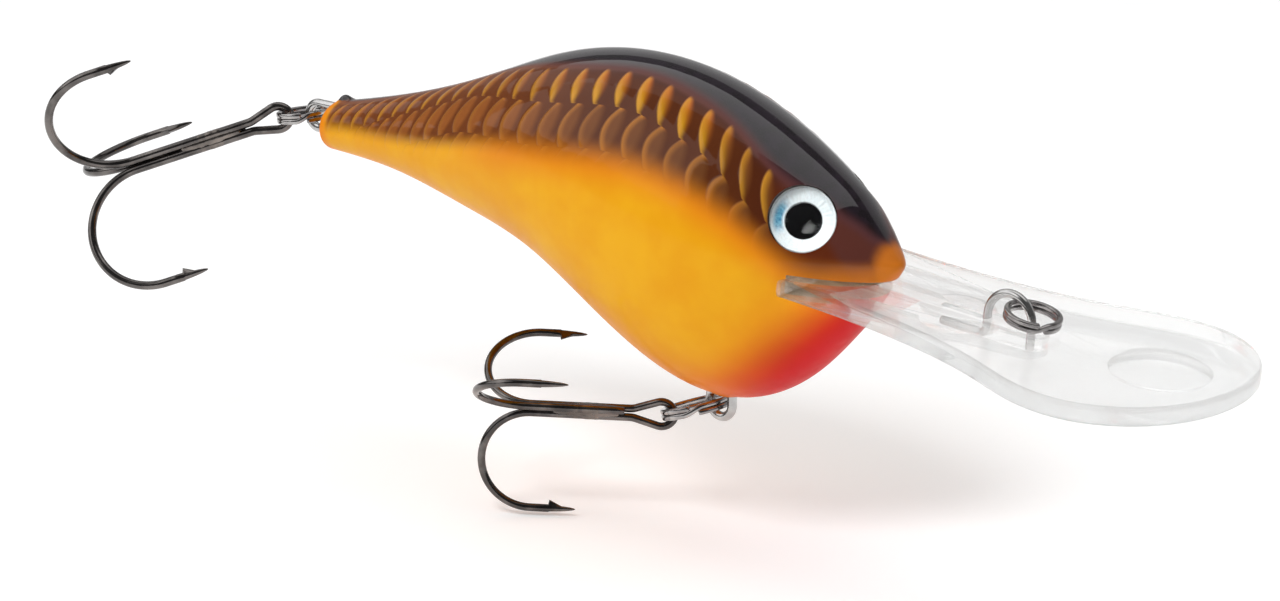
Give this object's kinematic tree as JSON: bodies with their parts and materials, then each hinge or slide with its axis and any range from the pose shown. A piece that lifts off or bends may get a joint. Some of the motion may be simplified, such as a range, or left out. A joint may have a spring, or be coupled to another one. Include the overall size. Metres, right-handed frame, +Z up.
{
  "type": "crankbait lure",
  "caption": "Deep-diving hard fishing lure: painted fish-shaped wooden body, clear spoon-shaped diving lip, line tie, and treble hooks on split rings under the belly and at the tail.",
  "frame": {"origin": "centre of the hole of the line tie, the wire arch on the diving lip", "axes": "+X forwards from the tail to the nose, +Y to the fish's left, +Z up towards the back"},
  "size_m": [0.1334, 0.0332, 0.0441],
  "materials": {
    "body_paint": "painted balsa under a glossy clear coat: dark back, gold-scaled brown flank, yellow belly, red throat",
    "lip_polycarbonate": "clear polished polycarbonate",
    "stainless_wire": "bright drawn wire",
    "ballast_lead": "cast lead, dull grey",
    "rattle_brass": "plain",
    "rattle_cap_plastic": "moulded",
    "rattle_ball_steel": "polished",
    "eye_foil": "silver foil with fine radial lines",
    "eye_pupil": "printed black",
    "eye_lens": "clear domed resin",
    "split_ring_nickel": "nickel plated spring steel",
    "hook_black_nickel": "black nickel plated"
  },
  "bodies": {
    "lure": {"ballast_weight": "ballast_lead", "body_left_half": "body_paint", "body_right_half": "body_paint", "diving_lip": "lip_polycarbonate", "left_eye_iris": "eye_foil", "left_eye_lens": "eye_lens", "left_eye_pupil": "eye_pupil", "line_tie_wire": "stainless_wire", "rattle_cap_left": "rattle_cap_plastic", "rattle_cap_right": "rattle_cap_plastic", "rattle_tube": "rattle_brass", "right_eye_iris": "eye_foil", "right_eye_lens": "eye_lens", "right_eye_pupil": "eye_pupil", "through_wire": "stainless_wire"},
    "line_tie_ring_body": {"line_tie_ring": "split_ring_nickel"},
    "rattle_ball_body": {"rattle_balls": "rattle_ball_steel"},
    "belly_ring_body": {"belly_split_ring": "split_ring_nickel"},
    "belly_treble": {"belly_double_hook": "hook_black_nickel", "belly_third_hook": "hook_black_nickel", "belly_hook_braze": "hook_black_nickel"},
    "tail_ring_body": {"tail_split_ring": "split_ring_nickel"},
    "tail_treble": {"tail_double_hook": "hook_black_nickel", "tail_third_hook": "hook_black_nickel", "tail_hook_braze": "hook_black_nickel"}
  },
  "joints": [
    {"name": "line_tie_ring_swing", "type": "hinge", "parent": "lure", "child": "line_tie_ring_body", "pos_m": [0, 0, 0], "axis": [0, -1, 0], "range_deg": [0, 190]},
    {"name": "belly_ring_swing", "type": "hinge", "parent": "lure", "child": "belly_ring_body", "pos_m": [-0.03281, 0, -0.01588], "axis": [0, -1, 0], "range_deg": [-12, 100]},
    {"name": "belly_treble_turn", "type": "hinge", "parent": "belly_ring_body", "child": "belly_treble", "pos_m": [-0.03581, 0, -0.01685], "axis": [-0.309, 0, 0.9511], "range_deg": [-30, 45]},
    {"name": "tail_ring_swing", "type": "hinge", "parent": "lure", "child": "tail_ring_body", "pos_m": [-0.08431, 0, 0.00332], "axis": [0, -1, 0], "range_deg": [-60, 80]},
    {"name": "tail_treble_turn", "type": "hinge", "parent": "tail_ring_body", "child": "tail_treble", "pos_m": [-0.08659, 0, 0.003], "axis": [-0.1392, 0, 0.9903], "range_deg": [-30, 70]},
    {"name": "rattle_balls_slide", "type": "slide", "parent": "lure", "child": "rattle_ball_body", "axis": [0, 1, 0], "range_m": [-0.00085, 0.00085]}
  ]
}
